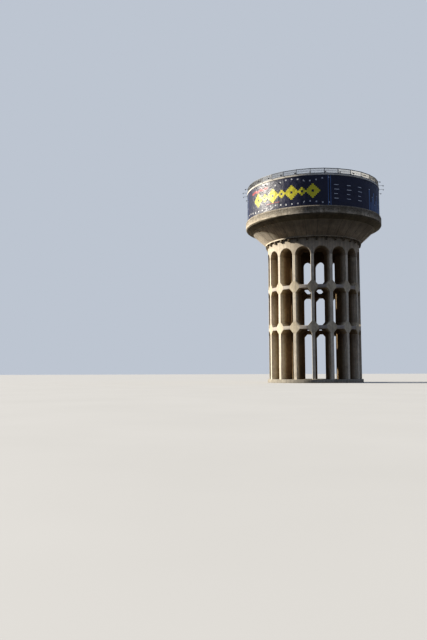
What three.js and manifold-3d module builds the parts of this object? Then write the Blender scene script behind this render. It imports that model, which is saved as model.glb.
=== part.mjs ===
// Water tower: a round concrete tank on a flared cone, carried by sixteen radial piers.
// Millimetres, +Z up, origin at the centre of the base on the ground.
// Angles are in degrees, counted from -Y towards +X, and a bay is centred on every 22.5 degrees.
// In a local frame the outward direction of the tower is -Y and the sideways direction is X.
import * as THREE from 'three';
import Module from 'manifold-3d';
import { mergeVertices } from 'three/addons/utils/BufferGeometryUtils.js';

const wasm = await Module();
wasm.setup();

// The tower's rings are built with this many flat sides, and neighbouring pieces keep this joint.
const SIDES = 64;
const FLOOR_SIDES = 32;
const JOINT = 0.3;
const REACH = 20000;

// Shaft: piers, ring slabs and gussets
const BAYS = 16;
const BAY_ANGLE = 360 / BAYS;
const SHAFT_OUTER = 8420;
const SHAFT_INNER = 5800;
const PIER_WIDTH = 570;
const FOOTING_INNER = 5400;
const FOOTING_OUTER = 8700;
const FOOTING_TOP = 620;
const RIM_INNER = 5450;
const SLAB_THICK = 610;
const LOWER_SLAB_BOTTOM = 9340;
const UPPER_SLAB_BOTTOM = 16480;
const GUSSET_WIDTH = 620;
const GUSSET_HEIGHT = 720;
const SPRINGING = 22440;
const ARCH_STEPS = 12;
const TUNNEL_INNER = 5000;
const TUNNEL_OUTER = 9500;

// Ledge and its corbels, two to a bay
const LEDGE_BOTTOM = 25390;
const LEDGE_TOP = 25600;
const LEDGE_OUTER = 8820;
const CORBEL_WIDTH = 300;
const CORBEL_HEIGHT = 520;
const CORBEL_TOE = 200;
const CORBEL_SETBACK = 30;

// Tank: cone, rim beam, wall, floor and roof
const CONE_TOP = 27870;
const CONE_TOP_OUTER = 11250;
const CONE_WALL = 500;
const RIM_TOP = 29960;
const RIM_OUTER = 12500;
const RIM_SOFFIT_OUTER = 12360;
const RIM_SOFFIT_HEIGHT = 28420;
const RIM_NOSE_HEIGHT = 28640;
const RIM_SHOULDER = 200;
const WALL_INNER = 11800;
const WALL_OUTER = 12150;
const WALL_TOP = 35190;
const FLOOR_THICK = 300;
const FLOOR_EDGE_CLEAR = 5;
const DOME_RISE = 1000;
const DOME_STEPS = 6;
const ROOF_OUTER = 12250;
const ROOF_EDGE = 280;
const ROOF_RIM_INNER = 11500;
const ROOF_RISE = 430;
const ROOF_THICK = 300;
const ROOF_CENTRE = 1500;

// Sign panels round the tank wall, four in all, counted from one of their joints
const SIGN_THICK = 70;
const SIGN_START = 26.3;

// Parapet: infill between posts, with a floodlight on an arm outside each post
const POSTS = 32;
const POST_SIZE = 90;
const PARAPET_RADIUS = 12150;
const PARAPET_TOP = 36440;
const PARAPET_THICK = 50;
const ARM_SIZE = 50;
const ARM_RISE = 100;
const LAMP_RADIUS = 13050;
const LAMP_WIDTH = 260;
const LAMP_DEPTH = 180;
const LAMP_HEIGHT = 240;

const HATCH_SIZE = 1500;
const HATCH_HEIGHT = 380;
const HATCH_LID = 80;
const HATCH_OVERHANG = 100;

const concrete = new THREE.MeshStandardMaterial({ color: 0xc8b896, roughness: 0.9, metalness: 0 });
const shadedConcrete = new THREE.MeshStandardMaterial({ color: 0x9a9080, roughness: 0.92, metalness: 0 });
const weatheredConcrete = new THREE.MeshStandardMaterial({ color: 0xa6977a, roughness: 0.95, metalness: 0 });
const navySign = new THREE.MeshStandardMaterial({ color: 0x1a1d30, roughness: 0.45, metalness: 0 });
const darkSteel = new THREE.MeshStandardMaterial({ color: 0x2c2f36, roughness: 0.5, metalness: 0.6 });

const tower = new THREE.Group();

function polar(radius, angle) {
  const a = THREE.MathUtils.degToRad(angle);
  return new THREE.Vector2(radius * Math.sin(a), -radius * Math.cos(a));
}

function solid(geometry) {
  geometry.deleteAttribute('normal');
  geometry.deleteAttribute('uv');
  const merged = mergeVertices(geometry, 1e-3);
  const vertProperties = new Float32Array(merged.attributes.position.array);
  const triVerts = new Uint32Array(merged.index.array);
  return new wasm.Manifold(new wasm.Mesh({ numProp: 3, vertProperties, triVerts }));
}

function surface(manifold) {
  const mesh = manifold.getMesh();
  const geometry = new THREE.BufferGeometry();
  geometry.setAttribute('position', new THREE.BufferAttribute(mesh.vertProperties, 3));
  geometry.setIndex(new THREE.BufferAttribute(mesh.triVerts, 1));
  const faces = geometry.toNonIndexed();
  faces.computeVertexNormals();
  return faces;
}

function add(name, manifold, material) {
  const mesh = new THREE.Mesh(surface(manifold), material);
  mesh.name = name;
  tower.add(mesh);
  return mesh;
}

// A solid turned about +Z from its local frame to its angle on the tower
function turned(geometry, angle) {
  return solid(geometry.clone().rotateZ(THREE.MathUtils.degToRad(angle)));
}

// A ring or disc about +Z whose section is given as [radius, height] corners, anticlockwise
function ring(section, sides = SIDES) {
  const corners = section.map(([radius, height]) => new THREE.Vector2(radius, height));
  const onAxis = section[0][0] === 0;
  if (!onAxis) corners.push(corners[0].clone());
  return solid(new THREE.LatheGeometry(corners, sides).rotateX(Math.PI / 2));
}

function band(inner, outer, bottom, top) {
  return ring([[inner, bottom], [outer, bottom], [outer, top], [inner, top]]);
}

// A box in the local frame, from its inner to its outer radius
function block(width, inner, outer, bottom, top) {
  const box = new THREE.BoxGeometry(width, outer - inner, top - bottom);
  return box.translate(0, -(inner + outer) / 2, (bottom + top) / 2);
}

// The wedge of the tower between two angles, with its faces set back by half a joint
function sector(start, end) {
  const half = THREE.MathUtils.degToRad((end - start) / 2);
  const shift = polar(JOINT / 2 / Math.sin(half), (start + end) / 2);
  const chords = 8;
  const corners = [shift];
  for (let i = 0; i <= chords; i += 1) {
    corners.push(polar(REACH, start + (end - start) * i / chords).add(shift));
  }
  const plan = new THREE.Shape(corners);
  return solid(new THREE.ExtrudeGeometry(plan, { depth: REACH * 2, bevelEnabled: false }));
}

// Splits a full ring into equal named segments
function addSegments(name, whole, count, start, material) {
  const span = 360 / count;
  for (let i = 0; i < count; i += 1) {
    const piece = whole.intersect(sector(start + span * i, start + span * (i + 1)));
    add(`${name}_${i + 1}`, piece, material);
  }
}

function pierAngle(i) {
  return BAY_ANGLE * (i + 0.5);
}

// Half the clear width between two piers at a distance from the tower's axis
function halfBay(radius) {
  const half = THREE.MathUtils.degToRad(BAY_ANGLE / 2);
  return radius * Math.tan(half) - PIER_WIDTH / 2 / Math.cos(half);
}

function addPiers() {
  for (let i = 0; i < BAYS; i += 1) {
    const pier = block(PIER_WIDTH, SHAFT_INNER, SHAFT_OUTER, FOOTING_TOP + JOINT, SPRINGING - JOINT);
    const mesh = new THREE.Mesh(pier, concrete);
    mesh.name = `pier_${String(i + 1).padStart(2, '0')}`;
    mesh.rotation.z = THREE.MathUtils.degToRad(pierAngle(i));
    tower.add(mesh);
  }
}

// A wedge that fills the corner between a pier's flank and a ring slab, over its full depth
function gusset(side, level, direction) {
  const flank = side * (PIER_WIDTH / 2 + JOINT);
  const root = level - direction * SLAB_THICK / 4;
  const corners = [
    new THREE.Vector2(flank, root),
    new THREE.Vector2(flank + side * GUSSET_WIDTH, root),
    new THREE.Vector2(flank + side * GUSSET_WIDTH, level),
    new THREE.Vector2(flank, level + direction * GUSSET_HEIGHT),
  ];
  const outline = new THREE.Shape(corners);
  const wedge = new THREE.ExtrudeGeometry(outline, { depth: REACH, bevelEnabled: false });
  return wedge.rotateX(Math.PI / 2);
}

function addRingSlab(name, bottom) {
  const top = bottom + SLAB_THICK;
  const shaftWall = band(SHAFT_INNER, SHAFT_OUTER, bottom - GUSSET_HEIGHT, top + GUSSET_HEIGHT);
  let slab = band(RIM_INNER, SHAFT_OUTER, bottom, top);
  for (let i = 0; i < BAYS; i += 1) {
    for (const side of [-1, 1]) {
      slab = slab.add(turned(gusset(side, top, 1), pierAngle(i)).intersect(shaftWall));
      slab = slab.add(turned(gusset(side, bottom, -1), pierAngle(i)).intersect(shaftWall));
    }
  }
  const width = PIER_WIDTH + 2 * JOINT;
  const slot = block(width, SHAFT_INNER - JOINT, TUNNEL_OUTER, bottom - GUSSET_HEIGHT, top + GUSSET_HEIGHT);
  for (let i = 0; i < BAYS; i += 1) {
    slab = slab.subtract(turned(slot, pierAngle(i)));
  }
  add(name, slab, concrete);
}

// The arched passage through one bay: it narrows inwards with the bay, and its crown falls with it
function archTunnel() {
  const outline = new THREE.Shape();
  outline.moveTo(-1, -1);
  outline.lineTo(1, -1);
  outline.absarc(0, 0, 1, 0, Math.PI, false);
  outline.closePath();
  const passage = new THREE.ExtrudeGeometry(outline, {
    depth: 1, bevelEnabled: false, curveSegments: ARCH_STEPS,
  });
  const points = passage.attributes.position;
  for (let i = 0; i < points.count; i += 1) {
    const radius = THREE.MathUtils.lerp(TUNNEL_INNER, TUNNEL_OUTER, points.getZ(i));
    const half = halfBay(radius);
    points.setXYZ(i, points.getX(i) * half, -radius, SPRINGING + points.getY(i) * half);
  }
  return passage;
}

function addArches() {
  let wall = band(SHAFT_INNER, SHAFT_OUTER, SPRINGING, LEDGE_BOTTOM - JOINT);
  const passage = archTunnel();
  for (let i = 0; i < BAYS; i += 1) {
    wall = wall.subtract(turned(passage, BAY_ANGLE * i));
  }
  addSegments('arch_quarter', wall, 4, pierAngle(0), concrete);
}

// Corbel section: full depth under the ledge, a short toe at the foot
function corbel() {
  const back = SHAFT_OUTER + JOINT;
  const front = LEDGE_OUTER - CORBEL_SETBACK;
  const foot = LEDGE_BOTTOM - CORBEL_HEIGHT;
  const into = (LEDGE_BOTTOM + LEDGE_TOP) / 2;
  const corners = [
    new THREE.Vector2(back, foot),
    new THREE.Vector2(back + CORBEL_TOE, foot),
    new THREE.Vector2(front, foot + (front - back - CORBEL_TOE)),
    new THREE.Vector2(front, into),
    new THREE.Vector2(back, into),
  ];
  const outline = new THREE.Shape(corners);
  const bracket = new THREE.ExtrudeGeometry(outline, { depth: CORBEL_WIDTH, bevelEnabled: false });
  return bracket.translate(0, 0, -CORBEL_WIDTH / 2).rotateX(Math.PI / 2).rotateZ(-Math.PI / 2);
}

function addLedge() {
  let ledge = band(SHAFT_INNER, LEDGE_OUTER, LEDGE_BOTTOM, LEDGE_TOP - JOINT);
  const bracket = corbel();
  for (let i = 0; i < 2 * BAYS; i += 1) {
    ledge = ledge.add(turned(bracket, BAY_ANGLE / 4 + i * BAY_ANGLE / 2));
  }
  add('corbelled_ledge', ledge, concrete);
}

// The inner face of the cone at a height, on the straight line from its foot to its top
function coneInner(height) {
  const slope = (CONE_TOP_OUTER - LEDGE_OUTER) / (CONE_TOP - LEDGE_TOP);
  return LEDGE_OUTER - CONE_WALL + (height - LEDGE_TOP) * slope;
}

function addCone() {
  const cone = ring([
    [coneInner(LEDGE_TOP), LEDGE_TOP],
    [LEDGE_OUTER, LEDGE_TOP],
    [CONE_TOP_OUTER, CONE_TOP - JOINT],
    [coneInner(CONE_TOP), CONE_TOP - JOINT],
  ]);
  addSegments('tank_cone', cone, 2, pierAngle(0), shadedConcrete);
}

function addRimBeam() {
  const slope = (CONE_TOP_OUTER - LEDGE_OUTER) / (CONE_TOP - LEDGE_TOP);
  const haunch = CONE_TOP + (WALL_INNER - coneInner(CONE_TOP)) / slope;
  const beam = ring([
    [coneInner(CONE_TOP), CONE_TOP],
    [CONE_TOP_OUTER, CONE_TOP],
    [RIM_SOFFIT_OUTER, RIM_SOFFIT_HEIGHT],
    [RIM_OUTER, RIM_NOSE_HEIGHT],
    [RIM_OUTER, RIM_TOP - RIM_SHOULDER],
    [RIM_OUTER - RIM_SHOULDER / 2, RIM_TOP],
    [WALL_INNER, RIM_TOP],
    [WALL_INNER, haunch],
  ]);
  addSegments('rim_beam', beam, 2, pierAngle(4), weatheredConcrete);
}

// Heights of a shallow dome of the given rise at evenly spaced radii, from the axis outwards
function domeLine(span, base, rise) {
  const line = [];
  for (let i = 0; i < DOME_STEPS; i += 1) {
    const part = i / DOME_STEPS;
    line.push([span * part, base + rise * (1 - part * part)]);
  }
  return line;
}

function addTankFloor() {
  const bottom = LEDGE_TOP;
  const top = bottom + FLOOR_THICK;
  const underside = domeLine(SHAFT_INNER, bottom, DOME_RISE);
  const upperside = domeLine(SHAFT_INNER, top, DOME_RISE).reverse();
  const floor = ring([
    ...underside,
    [SHAFT_INNER, bottom],
    [coneInner(bottom) - FLOOR_EDGE_CLEAR, bottom],
    [coneInner(top) - FLOOR_EDGE_CLEAR, top],
    [SHAFT_INNER, top],
    ...upperside,
  ], FLOOR_SIDES);
  add('tank_floor', floor, shadedConcrete);
}

function addTankWall() {
  const wall = band(WALL_INNER, WALL_OUTER, RIM_TOP + JOINT, WALL_TOP - JOINT);
  addSegments('tank_wall', wall, 4, pierAngle(0), concrete);
}

function addSigns() {
  const signs = band(WALL_OUTER + JOINT, WALL_OUTER + SIGN_THICK, RIM_TOP + JOINT, WALL_TOP - JOINT);
  addSegments('sign_panel', signs, 4, SIGN_START, navySign);
}

function addRoof() {
  const edgeTop = WALL_TOP + ROOF_EDGE;
  const roof = ring([
    [0, edgeTop + ROOF_RISE - ROOF_THICK],
    [ROOF_CENTRE, edgeTop + ROOF_RISE - ROOF_THICK],
    [WALL_INNER, WALL_TOP],
    [ROOF_OUTER, WALL_TOP],
    [ROOF_OUTER, edgeTop],
    [ROOF_RIM_INNER, edgeTop],
    [ROOF_CENTRE, edgeTop + ROOF_RISE],
    [0, edgeTop + ROOF_RISE],
  ]);
  add('roof_slab', roof, weatheredConcrete);
}

function addHatch() {
  const foot = WALL_TOP + ROOF_EDGE + ROOF_RISE + JOINT;
  const half = HATCH_SIZE / 2;
  const curb = solid(block(HATCH_SIZE, -half, half, foot, foot + HATCH_HEIGHT));
  const reach = half + HATCH_OVERHANG;
  const lid = solid(block(2 * reach, -reach, reach, foot + HATCH_HEIGHT - HATCH_LID, foot + HATCH_HEIGHT));
  add('roof_hatch', curb.add(lid), darkSteel);
}

function addParapet() {
  const foot = WALL_TOP + ROOF_EDGE + JOINT;
  const skin = PARAPET_THICK / 2;
  let fence = band(PARAPET_RADIUS - skin, PARAPET_RADIUS + skin, foot, PARAPET_TOP);
  const postInner = PARAPET_RADIUS - POST_SIZE / 2;
  const postOuter = PARAPET_RADIUS + POST_SIZE / 2;
  const post = block(POST_SIZE, postInner, postOuter, foot, PARAPET_TOP);
  const armFoot = foot + ARM_RISE;
  const arm = block(ARM_SIZE, PARAPET_RADIUS, LAMP_RADIUS, armFoot, armFoot + ARM_SIZE);
  const lampInner = LAMP_RADIUS - LAMP_DEPTH / 2;
  const lampOuter = LAMP_RADIUS + LAMP_DEPTH / 2;
  const lampFoot = armFoot + ARM_SIZE / 2 - LAMP_HEIGHT;
  const lamp = block(LAMP_WIDTH, lampInner, lampOuter, lampFoot, lampFoot + LAMP_HEIGHT);
  for (let i = 0; i < POSTS; i += 1) {
    const angle = 360 / POSTS * i;
    fence = fence.add(turned(post, angle)).add(turned(arm, angle)).add(turned(lamp, angle));
  }
  addSegments('parapet', fence, 4, BAY_ANGLE / 4, darkSteel);
}

add('footing_ring', band(FOOTING_INNER, FOOTING_OUTER, 0, FOOTING_TOP), weatheredConcrete);
addPiers();
addRingSlab('ring_slab_lower', LOWER_SLAB_BOTTOM);
addRingSlab('ring_slab_upper', UPPER_SLAB_BOTTOM);
addArches();
addLedge();
addTankFloor();
addCone();
addRimBeam();
addTankWall();
addSigns();
addRoof();
addHatch();
addParapet();

export default tower;
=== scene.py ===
import math

import bmesh
import bpy
import numpy as np
from mathutils import Matrix, Vector


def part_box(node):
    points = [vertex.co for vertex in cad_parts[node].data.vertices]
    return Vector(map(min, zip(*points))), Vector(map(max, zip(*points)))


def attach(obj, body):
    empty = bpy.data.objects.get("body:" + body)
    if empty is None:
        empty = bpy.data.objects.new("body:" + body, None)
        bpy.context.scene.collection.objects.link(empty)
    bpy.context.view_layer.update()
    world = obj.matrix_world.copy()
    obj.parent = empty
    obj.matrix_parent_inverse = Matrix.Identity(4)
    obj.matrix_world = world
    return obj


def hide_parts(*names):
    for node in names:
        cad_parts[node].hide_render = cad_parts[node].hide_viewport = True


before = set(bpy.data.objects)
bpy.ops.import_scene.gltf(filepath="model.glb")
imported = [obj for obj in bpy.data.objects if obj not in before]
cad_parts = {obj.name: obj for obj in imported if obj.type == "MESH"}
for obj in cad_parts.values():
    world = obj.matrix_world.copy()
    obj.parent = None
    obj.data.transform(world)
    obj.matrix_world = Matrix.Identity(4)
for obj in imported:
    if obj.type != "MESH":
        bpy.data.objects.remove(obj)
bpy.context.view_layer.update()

# The view: a camera at eye height on the open ground, 117 m from the tower's axis and 12 degrees
# round from its front, aimed to the left of the tower and a little upwards.
VIEW_DISTANCE = 117.14
VIEW_ANGLE = 12.45
EYE_HEIGHT = 1.6
AIM_LEFT = 9.19
AIM_UP = 4.94
ROLL = -0.17
LENS = 35.153

view = bpy.data.cameras.new("view")
view.lens = LENS
view.clip_end = 6000
camera = bpy.data.objects.new("view", view)
stand = math.radians(VIEW_ANGLE)
camera.matrix_world = (
    Matrix.Translation((VIEW_DISTANCE * math.sin(stand), -VIEW_DISTANCE * math.cos(stand), EYE_HEIGHT))
    @ Matrix.Rotation(math.radians(VIEW_ANGLE + AIM_LEFT), 4, "Z")
    @ Matrix.Rotation(math.radians(90 + AIM_UP), 4, "X")
    @ Matrix.Rotation(math.radians(ROLL), 4, "Z")
)
bpy.context.scene.collection.objects.link(camera)
bpy.context.scene.camera = camera

# The light: a warm key from the left, low and slightly soft, and a cool dim fill, mostly from above
# and the right, so that the shaded side keeps its depth. Only the camera sees the pale backdrop.
# The view deepens its darkest tones a little, as a photographic print does.
KEY_ANGLE = -82.5
KEY_HEIGHT = 28.8
KEY_STRENGTH = 9.2
KEY_WIDTH = 1.2
KEY_COLOR = (1.0, 0.93, 0.81)
FILL_ABOVE = (0.295, 0.36, 0.50)
FILL_BELOW = (0.046, 0.043, 0.040)
FILL_EDGES = (-0.05, 0.65)
FILL_SIDES = (1.0, 1.3)
BACKDROP = (0.50, 0.55, 0.63)
TONE_CURVE = [(0.012, 0.0055), (0.045, 0.033), (0.10, 0.097), (0.25, 0.255)]
ALL_CHANNELS = 3

key = bpy.data.lights.new("key", "SUN")
key.energy = KEY_STRENGTH
key.angle = math.radians(KEY_WIDTH)
key.color = KEY_COLOR
lamp = bpy.data.objects.new("key", key)
turn, lift = math.radians(KEY_ANGLE), math.radians(KEY_HEIGHT)
to_key = Vector((math.sin(turn) * math.cos(lift), -math.cos(turn) * math.cos(lift), math.sin(lift)))
lamp.rotation_euler = to_key.to_track_quat("Z", "Y").to_euler()
bpy.context.scene.collection.objects.link(lamp)
world = bpy.data.worlds.new("fill")
world.use_nodes = True
sky = world.node_tree
fill = sky.nodes["Background"]
backdrop = sky.nodes.new("ShaderNodeBackground")
backdrop.inputs["Color"].default_value = (*BACKDROP, 1)
direction = sky.nodes.new("ShaderNodeSeparateXYZ")
rise = sky.nodes.new("ShaderNodeMapRange")
rise.inputs["From Min"].default_value, rise.inputs["From Max"].default_value = FILL_EDGES
blend = sky.nodes.new("ShaderNodeMix")
blend.data_type = "RGBA"
blend.inputs["A"].default_value = (*FILL_BELOW, 1)
blend.inputs["B"].default_value = (*FILL_ABOVE, 1)
chosen = sky.nodes.new("ShaderNodeMixShader")
sky.links.new(sky.nodes.new("ShaderNodeTexCoord").outputs["Generated"], direction.inputs[0])
sky.links.new(direction.outputs["Z"], rise.inputs["Value"])
sky.links.new(rise.outputs[0], blend.inputs[0])
sideways = sky.nodes.new("ShaderNodeMapRange")
sideways.inputs["To Min"].default_value, sideways.inputs["To Max"].default_value = FILL_SIDES
sky.links.new(direction.outputs["X"], sideways.inputs["Value"])
sky.links.new(sideways.outputs[0], fill.inputs["Strength"])
sky.links.new(blend.outputs[2], fill.inputs["Color"])
sky.links.new(sky.nodes.new("ShaderNodeLightPath").outputs["Is Camera Ray"], chosen.inputs[0])
sky.links.new(fill.outputs[0], chosen.inputs[1])
sky.links.new(backdrop.outputs[0], chosen.inputs[2])
sky.links.new(chosen.outputs[0], sky.nodes["World Output"].inputs["Surface"])
bpy.context.scene.world = world
tone = bpy.context.scene.view_settings
tone.view_transform = "Standard"
tone.use_curve_mapping = True
for place in TONE_CURVE:
    tone.curve_mapping.curves[ALL_CHANNELS].points.new(*place)
tone.curve_mapping.update()

# The ground: a plain pale floor that runs out to the horizon. It isn't part of the tower, and it
# throws no light back up. Its rings widen outwards, so that its faces near the tower stay small.
MERGE = 2e-5
SLIVER = 1e-5
FLOOR_RINGS = [0, 10, 20, 40, 80, 160, 400, 1200, 4000]
FLOOR_SIDES = 72


def at(radius, angle, height):
    """Points (r sin a, -r cos a, z) of arrays broadcast together, with a in degrees from -Y towards +X."""
    radius, angle, height = np.broadcast_arrays(radius, np.radians(angle), height)
    return np.stack([radius * np.sin(angle), -radius * np.cos(angle), height], -1)


def patch(points, u, v):
    """A grid of points (rows, columns, 3) as quads between neighbours, with u and v in metres."""
    rows, columns = points.shape[:2]
    index = np.arange(rows * columns).reshape(rows, columns)
    quads = np.stack([index[:-1, :-1], index[:-1, 1:], index[1:, 1:], index[1:, :-1]], -1)
    u, v = np.broadcast_to(u, (rows, columns)), np.broadcast_to(v, (rows, columns))
    return points.reshape(-1, 3), quads.reshape(-1, 4).tolist(), np.stack([u, v], -1).reshape(-1, 2)


def welded(name, patches, finishes, numbers=None, crease=32):
    """One object from patches whose edges meet: equal points merged, normals outwards, and
    edges that turn by more than crease degrees kept sharp. numbers gives each face its finish."""
    points = np.concatenate([p[0] for p in patches])
    starts = np.cumsum([0] + [len(p[0]) for p in patches])
    faces = [[i + start for i in face] for p, start in zip(patches, starts) for face in p[1]]
    mesh = bpy.data.meshes.new(name)
    mesh.from_pydata(points.tolist(), [], faces)
    order = np.empty(len(mesh.loops), np.int32)
    mesh.loops.foreach_get("vertex_index", order)
    places = np.concatenate([p[2] for p in patches])
    mesh.uv_layers.new(name="boards").data.foreach_set("uv", places[order].ravel())
    if numbers is not None:
        mesh.polygons.foreach_set("material_index", numbers)
    shape = bmesh.new()
    shape.from_mesh(mesh)
    bmesh.ops.remove_doubles(shape, verts=shape.verts, dist=MERGE)
    bmesh.ops.dissolve_degenerate(shape, edges=shape.edges, dist=SLIVER)
    bmesh.ops.recalc_face_normals(shape, faces=shape.faces)
    shape.to_mesh(mesh)
    shape.free()
    mesh.shade_smooth()
    mesh.set_sharp_from_angle(angle=math.radians(crease))
    for finish in finishes:
        mesh.materials.append(finish)
    made = bpy.data.objects.new(name, mesh)
    bpy.context.scene.collection.objects.link(made)
    return made


class Finish:
    """A procedural material in the making. Each method adds one node and returns its output."""

    def __init__(self, name):
        self.material = bpy.data.materials.new(name)
        self.material.use_nodes = True
        self.tree = self.material.node_tree
        self.surface = self.tree.nodes["Principled BSDF"]
        self.bumps = []

    def node(self, kind, inputs=(), **settings):
        made = self.tree.nodes.new("ShaderNode" + kind)
        for key, value in settings.items():
            setattr(made, key, value)
        for key, value in dict(inputs).items():
            self.feed(made.inputs[key], value)
        return made

    def feed(self, socket, value):
        if isinstance(value, bpy.types.NodeSocket):
            self.tree.links.new(value, socket)
        else:
            socket.default_value = (*value, 1) if socket.type == "RGBA" else value

    def place(self):
        return self.node("TexCoord").outputs["Object"]

    def boards(self):
        return self.node("UVMap", uv_map="boards").outputs["UV"]

    def math(self, operation, first, second=0.0):
        return self.node("Math", {0: first, 1: second}, operation=operation).outputs[0]

    def scaled(self, vector, scale):
        return self.node("Mapping", {"Vector": vector, "Scale": scale}).outputs[0]

    def noise(self, vector, scale, detail=4.0, roughness=0.55):
        inputs = {"Vector": vector, "Scale": scale, "Detail": detail, "Roughness": roughness}
        return self.node("TexNoise", inputs).outputs[0]

    def fade(self, value, start, end, low=0.0, high=1.0):
        """value carried smoothly from low at start to high at end."""
        inputs = {0: value, 1: start, 2: end, 3: low, 4: high}
        return self.node("MapRange", inputs, interpolation_type="SMOOTHSTEP").outputs[0]

    def mix(self, amount, first, second, blend="MIX"):
        """Two colours mixed by amount, or combined by another blend."""
        made = self.node("Mix", data_type="RGBA", blend_type=blend)
        self.feed(made.inputs[0], amount)
        self.feed(made.inputs[6], first)
        self.feed(made.inputs[7], second)
        return made.outputs[2]

    def times(self, color, factor):
        """A colour times another colour or a number."""
        return self.mix(1.0, color, factor, "MULTIPLY")

    def bump(self, height, distance):
        """Relief of this height in metres, added over the relief so far."""
        made = self.node("Bump", {"Height": height, "Distance": distance, "Strength": 1.0})
        if self.bumps:
            self.tree.links.new(self.bumps[-1], made.inputs["Normal"])
        self.bumps.append(made.outputs[0])

    def done(self, color, roughness, **uniform):
        self.feed(self.surface.inputs["Base Color"], color)
        self.feed(self.surface.inputs["Roughness"], roughness)
        if self.bumps:
            self.tree.links.new(self.bumps[-1], self.surface.inputs["Normal"])
        for key, value in uniform.items():
            self.surface.inputs[key.replace("_", " ")].default_value = value
        return self.material


def floor_finish():
    finish = Finish("pale_floor")
    grain = finish.noise(finish.place(), 0.15, 3)
    color = finish.mix(grain, (0.41, 0.405, 0.39), (0.46, 0.455, 0.44))
    return finish.done(color, 0.9, Specular_IOR_Level=0.1)


floor_angles = np.linspace(0, 360, FLOOR_SIDES + 1)
floor_points = at(np.array(FLOOR_RINGS)[:, None], floor_angles, 0.0)
floor = welded("floor", [patch(floor_points, 0, 0)], [floor_finish()])
floor.data.flip_normals()
floor.visible_diffuse = False


# Footing: a low ring of concrete that all sixteen piers stand on. It is cast against boards,
# with an eased top edge that sheds water, and its foot is darkened by splashed soil.
BOARD_LENGTH = 3.1
BOARD_GAP = 0.005
DIRT = (0.075, 0.065, 0.05)
SOIL = (0.11, 0.09, 0.06)
STAIN = (0.085, 0.07, 0.05)
LICHEN = (0.75, 0.73, 0.68)
# BAY_SHADE_TINT is the warm tint of the painted shade and bounce light deep in the bays, and SUNNY_SIDE the
# side whose colour the painted highlight lightens.
BAY_SHADE_TINT = (1.0, 0.79, 0.57)
SUNNY_SIDE = (-0.99, -0.13, 0)


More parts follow.
